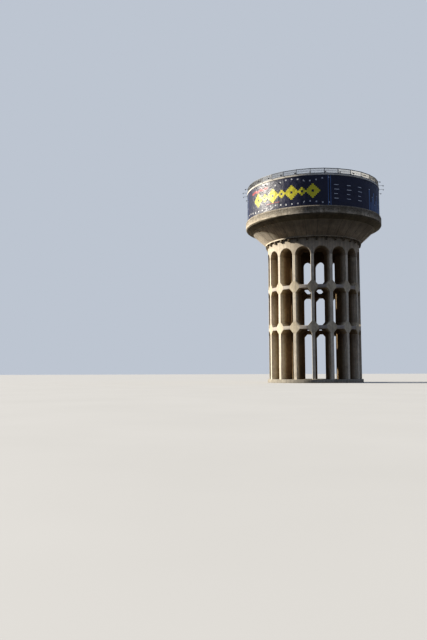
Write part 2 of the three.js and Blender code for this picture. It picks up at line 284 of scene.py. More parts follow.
def concrete(name, pale, dark, board=0.16, tone=0.16, streaks=0.3, drip_from=None, drip_run=1.5,
             drip=0.45, spread=None, spots=0.0, stains=0.0, key_side_light=0.0, damp_foot=0.0, bay_shade=None):
    """Board-marked concrete. Broad patches run from the dark to the pale colour, each board has a
    tone of its own, rain streaks run down it, and dirt fades out below the height drip_from.
    With spread, a radius, the streaks run down and inwards as on a cone of about that size.
    stains adds dark blots and spots adds pale ones; bleach lightens the side that the key lights,
    a painted highlight. shelter is (outer radius, inner radius, share): the colour darkens and warms
    to that share between them, painted shade and bounce light deep in the bays."""
    finish = Finish(name)
    place = finish.place()
    parts = finish.node("SeparateXYZ", {0: place})
    height = parts.outputs["Z"]
    flat = finish.node("VectorMath", {0: place, 1: (1, 1, 0)}, operation="MULTIPLY").outputs[0]
    around = finish.node("VectorMath", {0: flat}, operation="NORMALIZE").outputs[0]
    run = place
    if spread:
        wide = finish.node("VectorMath", {0: around, "Scale": spread}, operation="SCALE").outputs[0]
        level = finish.node("CombineXYZ", {"Z": height}).outputs[0]
        run = finish.node("VectorMath", {0: wide, 1: level}, operation="ADD").outputs[0]

    patches = finish.fade(finish.noise(place, 0.30, 6, 0.62), 0.36, 0.64)
    color = finish.mix(patches, dark, pale)
    cloud = finish.fade(finish.noise(place, 1.9, 7, 0.68), 0.3, 0.7, 0.86, 1.07)
    color = finish.times(color, cloud)

    across = finish.node("SeparateXYZ", {0: finish.boards()})
    turned = finish.node("CombineXYZ", {"X": across.outputs["Y"], "Y": across.outputs["X"]}).outputs[0]
    bricks = finish.node("TexBrick", {
        "Vector": turned, "Color1": (1 - tone,) * 3, "Color2": (1 + tone / 2,) * 3,
        "Mortar": (1 - tone,) * 3, "Scale": 1.0, "Mortar Size": BOARD_GAP, "Mortar Smooth": 0.3,
        "Brick Width": BOARD_LENGTH, "Row Height": board})
    color = finish.times(color, bricks.outputs["Color"])

    thin = finish.noise(finish.scaled(run, (3.4, 3.4, 0.16)), 1.0, 6, 0.6)
    broad = finish.noise(finish.scaled(run, (0.9, 0.9, 0.07)), 1.0, 5, 0.6)
    lines = finish.math("MULTIPLY", finish.fade(thin, 0.47, 0.72), finish.fade(broad, 0.38, 0.66))
    color = finish.times(color, finish.fade(lines, 0, 1, 1.0, 1 - streaks))

    if drip_from is not None:
        edge = finish.math("ADD", height, finish.math("MULTIPLY", thin, drip_run))
        dirt = finish.fade(edge, drip_from - drip_run * 0.6, drip_from + drip_run * 0.55)
        color = finish.mix(finish.math("MULTIPLY", dirt, drip), color, DIRT)
    if damp_foot:
        soil = finish.fade(finish.math("ADD", height, finish.math("MULTIPLY", broad, damp_foot)),
                           damp_foot * 1.6, damp_foot * 0.3)
        color = finish.mix(finish.math("MULTIPLY", soil, 0.55), color, SOIL)
    if stains:
        blot = finish.noise(finish.scaled(place, (1.6, 1.6, 3.4)), 1.0, 7, 0.7)
        color = finish.mix(finish.fade(blot, 0.46, 0.62, 0.0, stains), color, STAIN)
    if spots:
        bloom = finish.math("MULTIPLY", finish.fade(finish.noise(place, 5.5, 5, 0.7), 0.56, 0.66),
                            finish.fade(finish.noise(place, 0.8, 3), 0.45, 0.6))
        color = finish.mix(finish.math("MULTIPLY", bloom, spots), color, LICHEN)

    # Painted highlight: the colour grows lighter on the side that faces the key.
    if key_side_light:
        facing = finish.node("VectorMath", {0: around, 1: SUNNY_SIDE}, operation="DOT_PRODUCT")
        lighter = finish.fade(facing.outputs["Value"], 0.3, 0.95, 1.0, 1 + key_side_light)
        color = finish.times(color, lighter)
    # Painted shade: the colour darkens and warms towards the inside of the shaft, standing for the shade
    # and warm bounce light in the bays.
    if bay_shade:
        radius = finish.node("VectorMath", {0: flat}, operation="LENGTH").outputs["Value"]
        wavy = finish.math("ADD", radius, finish.math("MULTIPLY", broad, 0.5))
        unshaded_share = finish.fade(wavy, bay_shade[1] + 0.25, bay_shade[0] + 0.25)
        shaded_color = finish.times(color, tuple(bay_shade[2] * c for c in BAY_SHADE_TINT))
        color = finish.mix(unshaded_share, shaded_color, color)

    grain = finish.noise(place, 38, 6, 0.7)
    color = finish.times(color, finish.fade(grain, 0.25, 0.75, 0.93, 1.05))
    holes = finish.node("TexVoronoi", {"Vector": place, "Scale": 9.0}).outputs["Distance"]
    holes = finish.fade(holes, 0.05, 0.11)
    color = finish.times(color, finish.fade(holes, 0, 1, 0.72, 1.0))
    finish.bump(finish.fade(bricks.outputs["Fac"], 0, 1, 0.0, 1.0), 0.003)
    finish.bump(finish.noise(place, 3.0, 6, 0.6), 0.012)
    finish.bump(grain, 0.004)
    finish.bump(holes, 0.006)
    return finish.done(color, finish.fade(grain, 0.2, 0.8, 0.82, 0.95))


def eased(corners, ease, steps=3):
    """A closed outline whose corners are cut back by ease and bridged by a quadratic curve:
    (1-t)^2 start + 2t(1-t) corner + t^2 end."""
    corner = np.array(corners, float)
    before, after = np.roll(corner, 1, 0) - corner, np.roll(corner, -1, 0) - corner
    cut = np.broadcast_to(ease, len(corner))[:, None]
    start = corner + cut * before / np.linalg.norm(before, axis=1, keepdims=True)
    end = corner + cut * after / np.linalg.norm(after, axis=1, keepdims=True)
    t = np.linspace(0, 1, steps + 1)[None, :, None]
    curve = (1 - t) ** 2 * start[:, None] + 2 * t * (1 - t) * corner[:, None] + t ** 2 * end[:, None]
    return curve.reshape(-1, 2)


def ring(profile, sides=256):
    """A closed profile of (radius, height) points turned round the tower's axis.
    u is the way round, v the way along the profile."""
    profile = np.concatenate([profile, profile[:1]])
    angle = np.linspace(0, 360, sides + 1)[:, None]
    along = np.concatenate([[0], np.cumsum(np.hypot(*np.diff(profile, axis=0).T))])
    return patch(at(profile[:, 0], angle, profile[:, 1]), np.radians(angle) * profile[:, 0].max(), along)


FOOTING_INNER = 5.4
FOOTING_OUTER = 8.7
FOOTING_EASE = 0.05

footing_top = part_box("footing_ring")[1].z
footing_outline = eased(
    [(FOOTING_INNER, 0), (FOOTING_OUTER, 0), (FOOTING_OUTER, footing_top), (FOOTING_INNER, footing_top)],
    [0, 0, FOOTING_EASE, FOOTING_EASE])
footing = welded("footing", [ring(footing_outline)], [
    concrete("footing_concrete", (0.40, 0.36, 0.29), (0.27, 0.24, 0.19), board=0.2, damp_foot=0.25)])
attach(footing, "root")
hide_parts("footing_ring")

# Piers: sixteen thin radial walls of board-marked concrete that carry the tank. Each was cast in
# lifts, which leave a shallow groove round it, and its arrises are cut off at 45 degrees.
BAYS = 16
BAY = 360 / BAYS
PIER_WIDTH = 0.57
SHAFT_OUTER = 8.42
SHAFT_INNER = 5.8
ARRIS = 0.035
LIFT_HEIGHTS = [2.62, 4.62, 6.62, 13.2, 20.1]
LIFT_GROOVE = 0.012
FACE_POINTS = 7
BOARD_SHIFT = 5.3

pier_angles = BAY * (np.arange(BAYS) + 0.5)
pier_foot, pier_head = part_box("pier_01")[0].z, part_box("pier_01")[1].z
slab_ends = [(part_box(name)[0].z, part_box(name)[1].z) for name in ("ring_slab_lower", "ring_slab_upper")]


def pier_stations():
    """Rows of (height, arris, groove) up a pier. The arris fades out where a gusset meets the flank."""
    rows = [(pier_foot, ARRIS, 0), (pier_head, ARRIS, 0)]
    for low, high in slab_ends:
        rows += [(low, ARRIS, 0), (low + ARRIS, 0, 0), (high - ARRIS, 0, 0), (high, ARRIS, 0)]
    for height in LIFT_HEIGHTS:
        rows += [(height - LIFT_GROOVE, ARRIS, 0), (height, ARRIS, LIFT_GROOVE)]
        rows += [(height + LIFT_GROOVE, ARRIS, 0)]
    return np.array(sorted(rows))


def cap(points):
    """A flat end face over a closed row of points."""
    return points, [list(range(len(points)))], points[:, :2]


def pier(angle, board_start):
    """A pier's plan at each station: an arc of the shaft's outer circle, a flank, an arc of the
    inner circle and the other flank, with the four arrises between them."""
    height, cut, groove = pier_stations().T[:, :, None]
    half, outer, inner = PIER_WIDTH / 2 - groove, SHAFT_OUTER - groove, SHAFT_INNER + groove
    sweep = np.linspace(-1, 1, FACE_POINTS) * (half - cut)
    flank_outer = np.sqrt(outer ** 2 - half ** 2) - cut
    flank_inner = np.sqrt(inner ** 2 - half ** 2) + cut
    side = np.concatenate([sweep, half, half, sweep[:, ::-1], -half, -half, sweep[:, :1]], 1)
    out = np.concatenate([
        np.sqrt(outer ** 2 - sweep ** 2), flank_outer, flank_inner,
        np.sqrt(inner ** 2 - sweep ** 2), flank_inner, flank_outer,
        np.sqrt(outer ** 2 - sweep[:, :1] ** 2)], 1)
    points = at(np.hypot(side, out), angle + np.degrees(np.arctan2(side, out)), height)
    walk = np.hypot(np.diff(side[0]), np.diff(out[0]))
    around = board_start + np.concatenate([[0], np.cumsum(walk)])
    return [patch(points, around, height), cap(points[0, :-1]), cap(points[-1, :-1])]


# Painted shade deep in the bays: between these radii the colour falls to this share of itself.
BAY_SHADE_SPAN = (8.40, 6.8, 0.28)
pier_concrete = concrete(
    "pier_concrete", (0.76, 0.68, 0.545), (0.63, 0.55, 0.43), board=0.14, streaks=0.22,
    bay_shade=BAY_SHADE_SPAN)
node_concrete = concrete(
    "node_concrete", (0.66, 0.575, 0.43), (0.55, 0.465, 0.335), board=0.14, streaks=0.2,
    bay_shade=BAY_SHADE_SPAN)
station_heights = pier_stations()[:, 0]
station_middles = (station_heights[1:] + station_heights[:-1]) / 2
is_node = np.any([(station_middles > low) & (station_middles < high) for low, high in slab_ends], 0)
for number, angle in enumerate(pier_angles):
    name = f"pier_{number + 1:02d}"
    shaft, foot_face, head_face = pier(angle, board_start=BOARD_SHIFT * number)
    numbers = np.append(np.repeat(is_node, len(shaft[1]) // len(is_node)), [False, False])
    made = welded(name + "_cast", [shaft, foot_face, head_face], [pier_concrete, node_concrete],
                  numbers.astype(np.int32))
    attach(made, "root")
    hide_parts(name)

# Ring slabs: two concrete rings that tie the piers together at a third and two thirds of their
# height. Each stiffens the corners of its bays with sloping gussets, cast in one with it.
RIM_INNER = 5.45
RIM_EASE = 0.02
GUSSET_WIDTH = 0.62
GUSSET_HEIGHT = 0.72
JOINT = 0.0003


def bay_angles(radius):
    """Angles of a bay's seven cross lines at a radius for each: the flanks, the gussets' feet,
    and three lines spaced evenly between the feet. A line at a distance d from a pier's middle
    plane meets the radius r at the angle arcsin(d / r) from the pier."""
    distance = PIER_WIDTH / 2 + JOINT + np.array([0, GUSSET_WIDTH])
    edge = np.degrees(np.arcsin(distance / radius[:2]))
    between = np.linspace(edge[1], BAY - edge[1], 5)[1:-1]
    return np.concatenate([edge, between, BAY - edge[::-1]])


def ring_slab(name):
    """Each bay is a skin of ten lines from flank to flank, from the foot of the inner face under
    the slab and round its outer face to the inner face above it. An inner rim joins the bays.
    Returns the patches and, for each of their faces, whether it belongs to a gusset."""
    low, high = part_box(name)[0].z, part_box(name)[1].z
    bottom, top = low + GUSSET_HEIGHT, high - GUSSET_HEIGHT
    rise = np.array([GUSSET_HEIGHT, 0, 0, 0, 0, 0, GUSSET_HEIGHT])
    cut = np.minimum(ARRIS, rise)
    over, under = top + rise, bottom - rise
    lines = [
        (SHAFT_INNER, bottom), (SHAFT_INNER, under + cut), (SHAFT_INNER + cut, under),
        (SHAFT_OUTER - ARRIS, under), (SHAFT_OUTER, under + ARRIS),
        (SHAFT_OUTER, over - ARRIS), (SHAFT_OUTER - ARRIS, over),
        (SHAFT_INNER + cut, over), (SHAFT_INNER, over - cut), (SHAFT_INNER, top)]
    rim = [
        (SHAFT_INNER, top), (RIM_INNER + RIM_EASE, top), (RIM_INNER, top - RIM_EASE),
        (RIM_INNER, bottom + RIM_EASE), (RIM_INNER + RIM_EASE, bottom), (SHAFT_INNER, bottom)]
    inner_angles = bay_angles(np.full(7, SHAFT_INNER))
    around = np.radians(inner_angles) * SHAFT_OUTER
    strips = len(inner_angles) - 1
    at_flank = np.isin(np.arange(strips), (0, strips - 1))
    patches, is_gusset = [], []
    for start in pier_angles:
        skin = np.stack([
            at(radius, start + bay_angles(np.broadcast_to(radius, 7)), height) for radius, height in lines])
        along = np.concatenate([[0], np.cumsum(np.linalg.norm(np.diff(skin[:, 3], axis=0), axis=1))])
        patches += [patch(skin, along[:, None], around + math.radians(start) * SHAFT_OUTER)]
        patches += [cap(skin[:, 0]), cap(skin[:, -1])]
        slot = start + np.array([inner_angles[-1], BAY + inner_angles[0]])
        patches += [patch(at(SHAFT_INNER, slot, np.array([[bottom], [top]])), 0, 0)]
        is_gusset += [*np.tile(at_flank, len(lines) - 1), False, False, False]
    whole = np.append((pier_angles[:, None] + inner_angles).ravel(), pier_angles[0] + inner_angles[0] + 360)
    hoop = np.stack([at(radius, whole, height) for radius, height in rim])
    along = np.concatenate([[0], np.cumsum(np.linalg.norm(np.diff(hoop[:, 0], axis=0), axis=1))])
    patches += [patch(hoop, along[:, None], np.radians(whole) * SHAFT_INNER)]
    is_gusset += [False] * len(patches[-1][1])
    return patches, is_gusset


# Its colour darkens deep in the bays as well, painted shade.
slab_concrete = concrete(
    "slab_concrete", (0.52, 0.465, 0.40), (0.41, 0.36, 0.305), board=0.15, streaks=0.25,
    bay_shade=BAY_SHADE_SPAN)
for name in ("ring_slab_lower", "ring_slab_upper"):
    patches, is_gusset = ring_slab(name)
    made = welded(name + "_cast", patches, [slab_concrete, node_concrete], np.int32(is_gusset))
    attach(made, "root")
    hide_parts(name)

# Arch wall: the head of the shaft, one thick ring of concrete over the piers. A round arch spans
# each bay, and its soffit narrows inwards as the bay does.
SPRINGING = 22.44
ARCH_STEPS = 28

arch_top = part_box("arch_quarter_1")[1].z


def arch_line(radius, grow):
    """The lower edge of the wall on a cylinder of this radius, over one bay and the half pier after
    it. Over the bay it is a semicircle whose half width h is distance * tan(b) - w / cos(b) + grow,
    so x = h cos t, and the distance outwards follows from x^2 + distance^2 = radius^2."""
    half_bay = math.radians(BAY / 2)
    swing = np.linspace(np.pi, 0, ARCH_STEPS + 1)
    back = PIER_WIDTH / 2 / math.cos(half_bay) - grow
    m, q = math.tan(half_bay) * np.cos(swing), back * np.cos(swing)
    distance = (m * q + np.sqrt((1 + m * m) * radius ** 2 - q * q)) / (1 + m * m)
    half = distance * math.tan(half_bay) - back
    angle = np.degrees(np.arctan2(half * np.cos(swing), distance))
    height = SPRINGING + half * np.sin(swing)
    angle, height = np.append(angle, BAY / 2), np.append(height, SPRINGING)
    starts = BAY * np.arange(BAYS)[:, None]
    return (np.append((starts + angle).ravel(), 360 + angle[0]),
            np.append(np.tile(height, BAYS), height[0]))


def arch_wall():
    """Six bands between neighbouring lines, from the outer skin over the top and down the inner
    skin, then out along the soffit with an arris on both sides."""
    outer_angle, outer_height = arch_line(SHAFT_OUTER, ARRIS)
    inner_angle, inner_height = arch_line(SHAFT_INNER, ARRIS)
    lip_outer_angle, lip_outer_height = arch_line(SHAFT_OUTER - ARRIS, 0)
    lip_inner_angle, lip_inner_height = arch_line(SHAFT_INNER + ARRIS, 0)
    loops = {
        "outer foot": at(SHAFT_OUTER, outer_angle, outer_height),
        "outer head": at(SHAFT_OUTER, outer_angle, arch_top),
        "inner head": at(SHAFT_INNER, inner_angle, arch_top),
        "inner foot": at(SHAFT_INNER, inner_angle, inner_height),
        "inner lip": at(SHAFT_INNER + ARRIS, lip_inner_angle, lip_inner_height),
        "outer lip": at(SHAFT_OUTER - ARRIS, lip_outer_angle, lip_outer_height),
    }
    around = np.radians(outer_angle) * SHAFT_OUTER
    edge = loops["outer lip"]
    under = np.append(0, np.cumsum(np.linalg.norm(np.diff(edge, axis=0), axis=1)))
    depth = SHAFT_OUTER - SHAFT_INNER

    def band(first, second, u, v_first, v_second):
        rows = np.stack([np.broadcast_to(v_first, len(u)), np.broadcast_to(v_second, len(u))])
        return patch(np.stack([loops[first], loops[second]]), u, rows)

    return [
        band("outer foot", "outer head", around, outer_height, arch_top),
        band("outer head", "inner head", around, 0, depth),
        band("inner head", "inner foot", around, arch_top, inner_height),
        band("inner foot", "inner lip", under, 0, ARRIS),
        band("inner lip", "outer lip", under, 0, depth),
        band("outer lip", "outer foot", under, 0, ARRIS)]


# Its colour darkens deep in the bays, painted shade.
arches = welded("arch_wall", arch_wall(), [
    concrete("arch_concrete", (0.58, 0.505, 0.395), (0.47, 0.40, 0.305), board=0.18, streaks=0.2,
             drip_from=24.9, drip_run=0.8, drip=0.2, bay_shade=BAY_SHADE_SPAN)])
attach(arches, "root")
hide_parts("arch_quarter_1", "arch_quarter_2", "arch_quarter_3", "arch_quarter_4")

# Ledge and corbels: a thin concrete ring that closes the head of the shaft and stands out over it,
# with a drip groove underneath. Thirty-two stub corbels, cast with it, carry its outer edge.
LEDGE_OUTER = 8.82
LEDGE_BOTTOM = 25.39
LEDGE_EASE = 0.025
LEDGE_SIDES = 320
DRIP_RADIUS = 8.735
DRIP_WIDTH = 0.03
DRIP_DEPTH = 0.015
CORBEL_WIDTH = 0.30
CORBEL_FOOT = 24.87
CORBEL_TOE = 0.20
CORBEL_FRONT = 8.79
CORBEL_EASE = 0.012
CORBEL_WALK = 2

ledge_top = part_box("corbelled_ledge")[1].z


def corbel(angle):
    """A side outline of five corners carried across the corbel's width, drawn in at both sides."""
    back = SHAFT_OUTER + JOINT
    slope_foot = CORBEL_FOOT + (CORBEL_FRONT - back - CORBEL_TOE)
    outline = np.array([
        (back, CORBEL_FOOT), (back + CORBEL_TOE, CORBEL_FOOT), (CORBEL_FRONT, slope_foot),
        (CORBEL_FRONT, LEDGE_BOTTOM), (back, LEDGE_BOTTOM)])
    drawn_in = np.array([(0, 1), (-0.4, 1), (-1, 0.4), (-1, 0), (0, 0)]) * CORBEL_EASE
    half = CORBEL_WIDTH / 2
    side = np.array([-half, CORBEL_EASE - half, half - CORBEL_EASE, half])[:, None]
    amount = np.array([1, 0, 0, 1])[:, None, None]
    rows = outline + amount * drawn_in
    rows = np.concatenate([rows, rows[:, :1]], 1)
    out, height = rows[..., 0], rows[..., 1]
    points = at(np.hypot(side, out), angle + np.degrees(np.arctan2(side, out)), height)
    along = np.linspace(0, CORBEL_WALK, out.shape[1])
    return [patch(points, side, along), cap(points[0, :-1]), cap(points[-1, :-1])]


drip = DRIP_WIDTH / 2
ledge_outline = eased([
    (SHAFT_INNER, LEDGE_BOTTOM),
    (DRIP_RADIUS - drip, LEDGE_BOTTOM), (DRIP_RADIUS - drip, LEDGE_BOTTOM + DRIP_DEPTH),
    (DRIP_RADIUS + drip, LEDGE_BOTTOM + DRIP_DEPTH), (DRIP_RADIUS + drip, LEDGE_BOTTOM),
    (LEDGE_OUTER, LEDGE_BOTTOM), (LEDGE_OUTER, ledge_top), (SHAFT_INNER, ledge_top)],
    [0, 0, 0, 0, 0, 0.008, LEDGE_EASE, 0])
ledge_ring = ring(ledge_outline, LEDGE_SIDES)
# The ledge's underside and the corbels take a far darker concrete, painted shade under the ledge, and
# bleach paints a highlight on the ledge's side towards the key.
ledge_middles = (ledge_outline + np.roll(ledge_outline, -1, 0)) / 2
is_shaded_under = np.tile(ledge_middles[:, 1] < LEDGE_BOTTOM + DRIP_DEPTH + 0.001, LEDGE_SIDES)
corbels = [p for k in range(2 * BAYS) for p in corbel(BAY / 4 + BAY / 2 * k)]
is_shaded_corbel = np.concatenate([[len(p[1]) > 1] * len(p[1]) for p in corbels])
ledge = welded("corbelled_ledge_cast", [ledge_ring, *corbels], [
    concrete("ledge_concrete", (0.56, 0.495, 0.39), (0.38, 0.33, 0.25), board=0.2, streaks=0.3,
             spots=0.2, key_side_light=0.5),
    concrete("shaded_under_concrete", (0.17, 0.14, 0.105), (0.10, 0.083, 0.062), board=0.3, streaks=0.3)],
    np.concatenate([is_shaded_under, is_shaded_corbel]).astype(np.int32))
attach(ledge, "root")
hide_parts("corbelled_ledge")

# Tank floor: a shallow concrete dome over the hollow of the shaft, with a flat strip round it that
# rests on the ledge. Its underside shows the boards it was cast on, from inside the shaft.
FLOOR_THICK = 0.3
DOME_RISE = 1.0
DOME_STEPS = 12
FLOOR_EDGE = 8.31

floor_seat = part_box("tank_floor")[0].z
dome_share = np.linspace(0, 1, DOME_STEPS + 1)
dome_radius = SHAFT_INNER * dome_share
dome_height = floor_seat + DOME_RISE * (1 - dome_share ** 2)
tank_floor_outline = np.concatenate([
    np.stack([dome_radius, dome_height], 1),
    [(FLOOR_EDGE, floor_seat), (FLOOR_EDGE, floor_seat + FLOOR_THICK)],
    np.stack([dome_radius, dome_height + FLOOR_THICK], 1)[::-1]])
tank_floor = welded("tank_floor_cast", [ring(tank_floor_outline, 192)], [
    concrete("floor_concrete", (0.48, 0.43, 0.35), (0.36, 0.32, 0.26), board=0.25, streaks=0.1)])
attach(tank_floor, "root")
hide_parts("tank_floor")

# Tank cone: the flared foot of the tank, half a metre of reinforced concrete. Its formwork stood
# in radial panels two to a bay, and each joint between them left a groove down the slope.
CONE_FOOT_OUTER = 8.79
CONE_TOP_OUTER = 11.25
CONE_WALL = 0.5
CONE_PANELS = 32
CONE_GROOVE = 0.03
CONE_GROOVE_ANGLE = 0.24
JOINT_LINES = 8
CONE_LINES = 9


def jointed_ring(profile, give, joints, start, half_gap, lines=JOINT_LINES):
    """A closed profile turned round the axis, moved by give (radius, height) along each joint's
    middle line and by nothing half_gap degrees to its sides."""
    profile, give = np.concatenate([profile, profile[:1]]), np.concatenate([give, give[:1]])
    step = 360 / joints
    offsets = np.append([-half_gap, 0], np.linspace(half_gap, step - half_gap, lines - 1)[:-1])
    angle = (start + step * np.arange(joints)[:, None] + offsets).ravel()
    angle = np.append(angle, start + 360 - half_gap)[:, None]
    depth = (np.arange(joints * lines + 1) % lines == 1)[:, None]
    along = np.concatenate([[0], np.cumsum(np.hypot(*np.diff(profile, axis=0).T))])
    points = at(profile[:, 0] + depth * give[:, 0], angle, profile[:, 1] + depth * give[:, 1])
    return patch(points, np.radians(angle) * profile[:, 0].max(), along)


cone_foot = min(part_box("tank_cone_1")[0].z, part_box("tank_cone_2")[0].z)
cone_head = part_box("tank_cone_1")[1].z
cone_rows = np.linspace(0, 1, CONE_LINES)[:, None]
cone_outer = (1 - cone_rows) * (CONE_FOOT_OUTER, cone_foot) + cone_rows * (CONE_TOP_OUTER, cone_head)
cone_inner = cone_outer[[-1, 0]] - (CONE_WALL, 0)
cone_slope = np.array([CONE_TOP_OUTER - CONE_FOOT_OUTER, cone_head - cone_foot])
cone_slope /= np.linalg.norm(cone_slope)
cone_give = np.zeros((len(cone_outer) + 2, 2))
cone_give[:len(cone_outer)] = CONE_GROOVE * np.array([-cone_slope[1], cone_slope[0]])
cone_ring = jointed_ring(
    np.concatenate([cone_outer, cone_inner]), cone_give, CONE_PANELS, BAY / 4, CONE_GROOVE_ANGLE)
is_groove = np.tile(np.repeat(np.arange(JOINT_LINES) < 2, len(cone_give)), CONE_PANELS)
# bleach paints a highlight on the cone's side towards the key.
cone = welded("tank_cone_cast", [cone_ring], [
    concrete("cone_concrete", (0.62, 0.545, 0.44), (0.43, 0.365, 0.285), board=0.22, tone=0.12,
             streaks=0.2, drip_from=27.4, drip_run=0.9, drip=0.35, spread=10, key_side_light=0.45),
    concrete("cone_joint_concrete", (0.34, 0.29, 0.23), (0.25, 0.21, 0.165), board=0.22)],
    is_groove.astype(np.int32), crease=20)
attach(cone, "root")
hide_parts("tank_cone_1", "tank_cone_2")

# Rim beam: the heavy concrete ring at the tank's widest place, with a sloping soffit and a plain
# fascia. A groove under its head marks a pour joint, and dirt runs down from its top.
RIM_OUTER = 12.5
RIM_SOFFIT_OUTER = 12.36
RIM_SOFFIT_HEIGHT = 28.42
RIM_NOSE_HEIGHT = 28.64
RIM_SHOULDER_HEIGHT = 29.76
RIM_TOP_OUTER = 12.4
WALL_INNER = 11.8
RIM_HAUNCH = 28.851
POUR_JOINT = 29.57
POUR_GROOVE = 0.035
RIM_SIDES = 384

rim_foot, rim_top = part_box("rim_beam_1")[0].z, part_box("rim_beam_1")[1].z
rim_outline = eased([
    (CONE_TOP_OUTER - CONE_WALL, rim_foot), (CONE_TOP_OUTER, rim_foot),
    (RIM_SOFFIT_OUTER, RIM_SOFFIT_HEIGHT), (RIM_OUTER, RIM_NOSE_HEIGHT),
    (RIM_OUTER, POUR_JOINT - POUR_GROOVE), (RIM_OUTER - POUR_GROOVE, POUR_JOINT),
    (RIM_OUTER, POUR_JOINT + POUR_GROOVE),
    (RIM_OUTER, RIM_SHOULDER_HEIGHT), (RIM_TOP_OUTER, rim_top),
    (WALL_INNER, rim_top), (WALL_INNER, RIM_HAUNCH)],
    [0, 0.02, 0.02, 0.02, 0, 0, 0, 0.04, 0.02, 0, 0])
# The soffit takes a far darker concrete, painted shade under the rim, and bleach paints a highlight on the
# side of the rim towards the key.
rim_middles = (rim_outline + np.roll(rim_outline, -1, 0)) / 2
is_shaded_soffit = (rim_middles[:, 1] < RIM_NOSE_HEIGHT) & (rim_middles[:, 0] > CONE_TOP_OUTER)
rim = welded("rim_beam_cast", [ring(rim_outline, RIM_SIDES)], [
    concrete("rim_concrete", (0.62, 0.54, 0.42), (0.38, 0.32, 0.235), board=0.3, tone=0.2, streaks=0.3,
             drip_from=29.45, drip_run=0.7, drip=0.6, spread=12.5, spots=0.6, stains=0.55,
             key_side_light=0.3),
    concrete("shaded_soffit_concrete", (0.20, 0.175, 0.13), (0.13, 0.11, 0.08), board=0.3, streaks=0.2,
             spread=12.5)],
    np.tile(is_shaded_soffit, RIM_SIDES).astype(np.int32))
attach(rim, "root")
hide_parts("rim_beam_1", "rim_beam_2")

# Tank wall: a plain upright ring of concrete. The sign panels hide all of its outer face, so the
# solids from the model stay as they are and only take the finish of the concrete beside them.
wall_concrete = concrete("wall_concrete", (0.50, 0.45, 0.36), (0.38, 0.33, 0.26))
for number in range(1, 5):
    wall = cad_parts[f"tank_wall_{number}"]
    wall.data.materials.clear()
    wall.data.materials.append(wall_concrete)

# Sign panels: thin boards, bent round the tank on battens and faced with printed film. The four
# quarters meet in open joints. The print is made of small squares: a frieze of yellow lozenges,
# dots and short bars on navy.
SIGN_RADIUS = 12.205
SIGN_BACK = 12.153
SIGN_START = 26.3
SIGN_COLUMNS = 146
SIGN_ROWS = 40
SIGN_GAP = 0.03
SIGN_BROAD = 0.006
SIGN_NARROW = 0.003
SIGN_HELD = 1 / 30
LOZENGES = [(40, 9), (54, 4), (68, 9), (82, 4), (96, 9), (110, 4), (124, 9)]
NAVY, YELLOW, WHITE, RED, PALE_BLUE = range(5)


def printed_film(name, color, cloud):
    finish = Finish(name)
    place = finish.place()
    shade = finish.fade(finish.noise(place, 0.35, 4), 0.3, 0.7)
    tint = finish.mix(shade, color, cloud)
    runs = finish.noise(finish.scaled(place, (1.4, 1.4, 0.15)), 1.0, 5, 0.65)
    dust = finish.fade(runs, 0.5, 0.8, 0.0, 0.02)
    tint = finish.mix(dust, tint, (0.45, 0.42, 0.38))
    finish.bump(finish.noise(place, 1.1, 3), 0.09)
    finish.bump(finish.noise(place, 160, 2), 0.0006)
    return finish.done(tint, finish.fade(finish.noise(place, 2.5, 4), 0.3, 0.7, 0.36, 0.45),
                       Specular_IOR_Level=0.55)


def frieze(column, row):
    """Lozenges |dx| + |dy| <= size, alternately large and small, between two waves of dots."""
    squares = np.full(column.shape, NAVY)
    for centre, size in LOZENGES:
        steps = 2 * (np.abs(column - centre) // 2) + 2 * (np.abs(row - 19) // 2)
        squares[(steps <= size) & (steps >= size // 4)] = YELLOW
    wave = np.round(2.4 * np.sin(column / 8.5)).astype(int)
    above, below = (row + wave) // 2 == 17, (row - wave // 2) // 2 == 2
    squares[(column % 8 < 2) & ((above & (column > 68)) | below)] = WHITE
    stepped = 30 + column // 6 % 2
    squares[(row >= stepped) & (row < stepped + 3) & (column > 23) & (column < 60)] = RED
    squares[(row == 9) & (column > 56) & (column < 80) & (column % 4 < 3)] = RED
    return squares


def short_bars(column, row):
    """Three stacks of short bars to one side, a few single squares, and pale upright bands."""
    squares = np.full(column.shape, NAVY)
    stack = (column % 18 > 5) & (column % 18 < 13 - (row // 6) % 3) & (column < 58)
    squares[stack & (row % 6 == 3) & (row > 8) & (row < 32)] = WHITE
    squares[(column % 9 < 2) & (row % 11 // 2 == 3) & (column > 106)] = WHITE
    tall = 8 + column // 4 * 7 % 23
    upright = (column > 62) & (column < 108)
    squares[upright & (column % 4 < 2) & (row < tall)] = PALE_BLUE
    squares[upright & (column % 8 < 2) & (row == tall)] = WHITE
    return squares


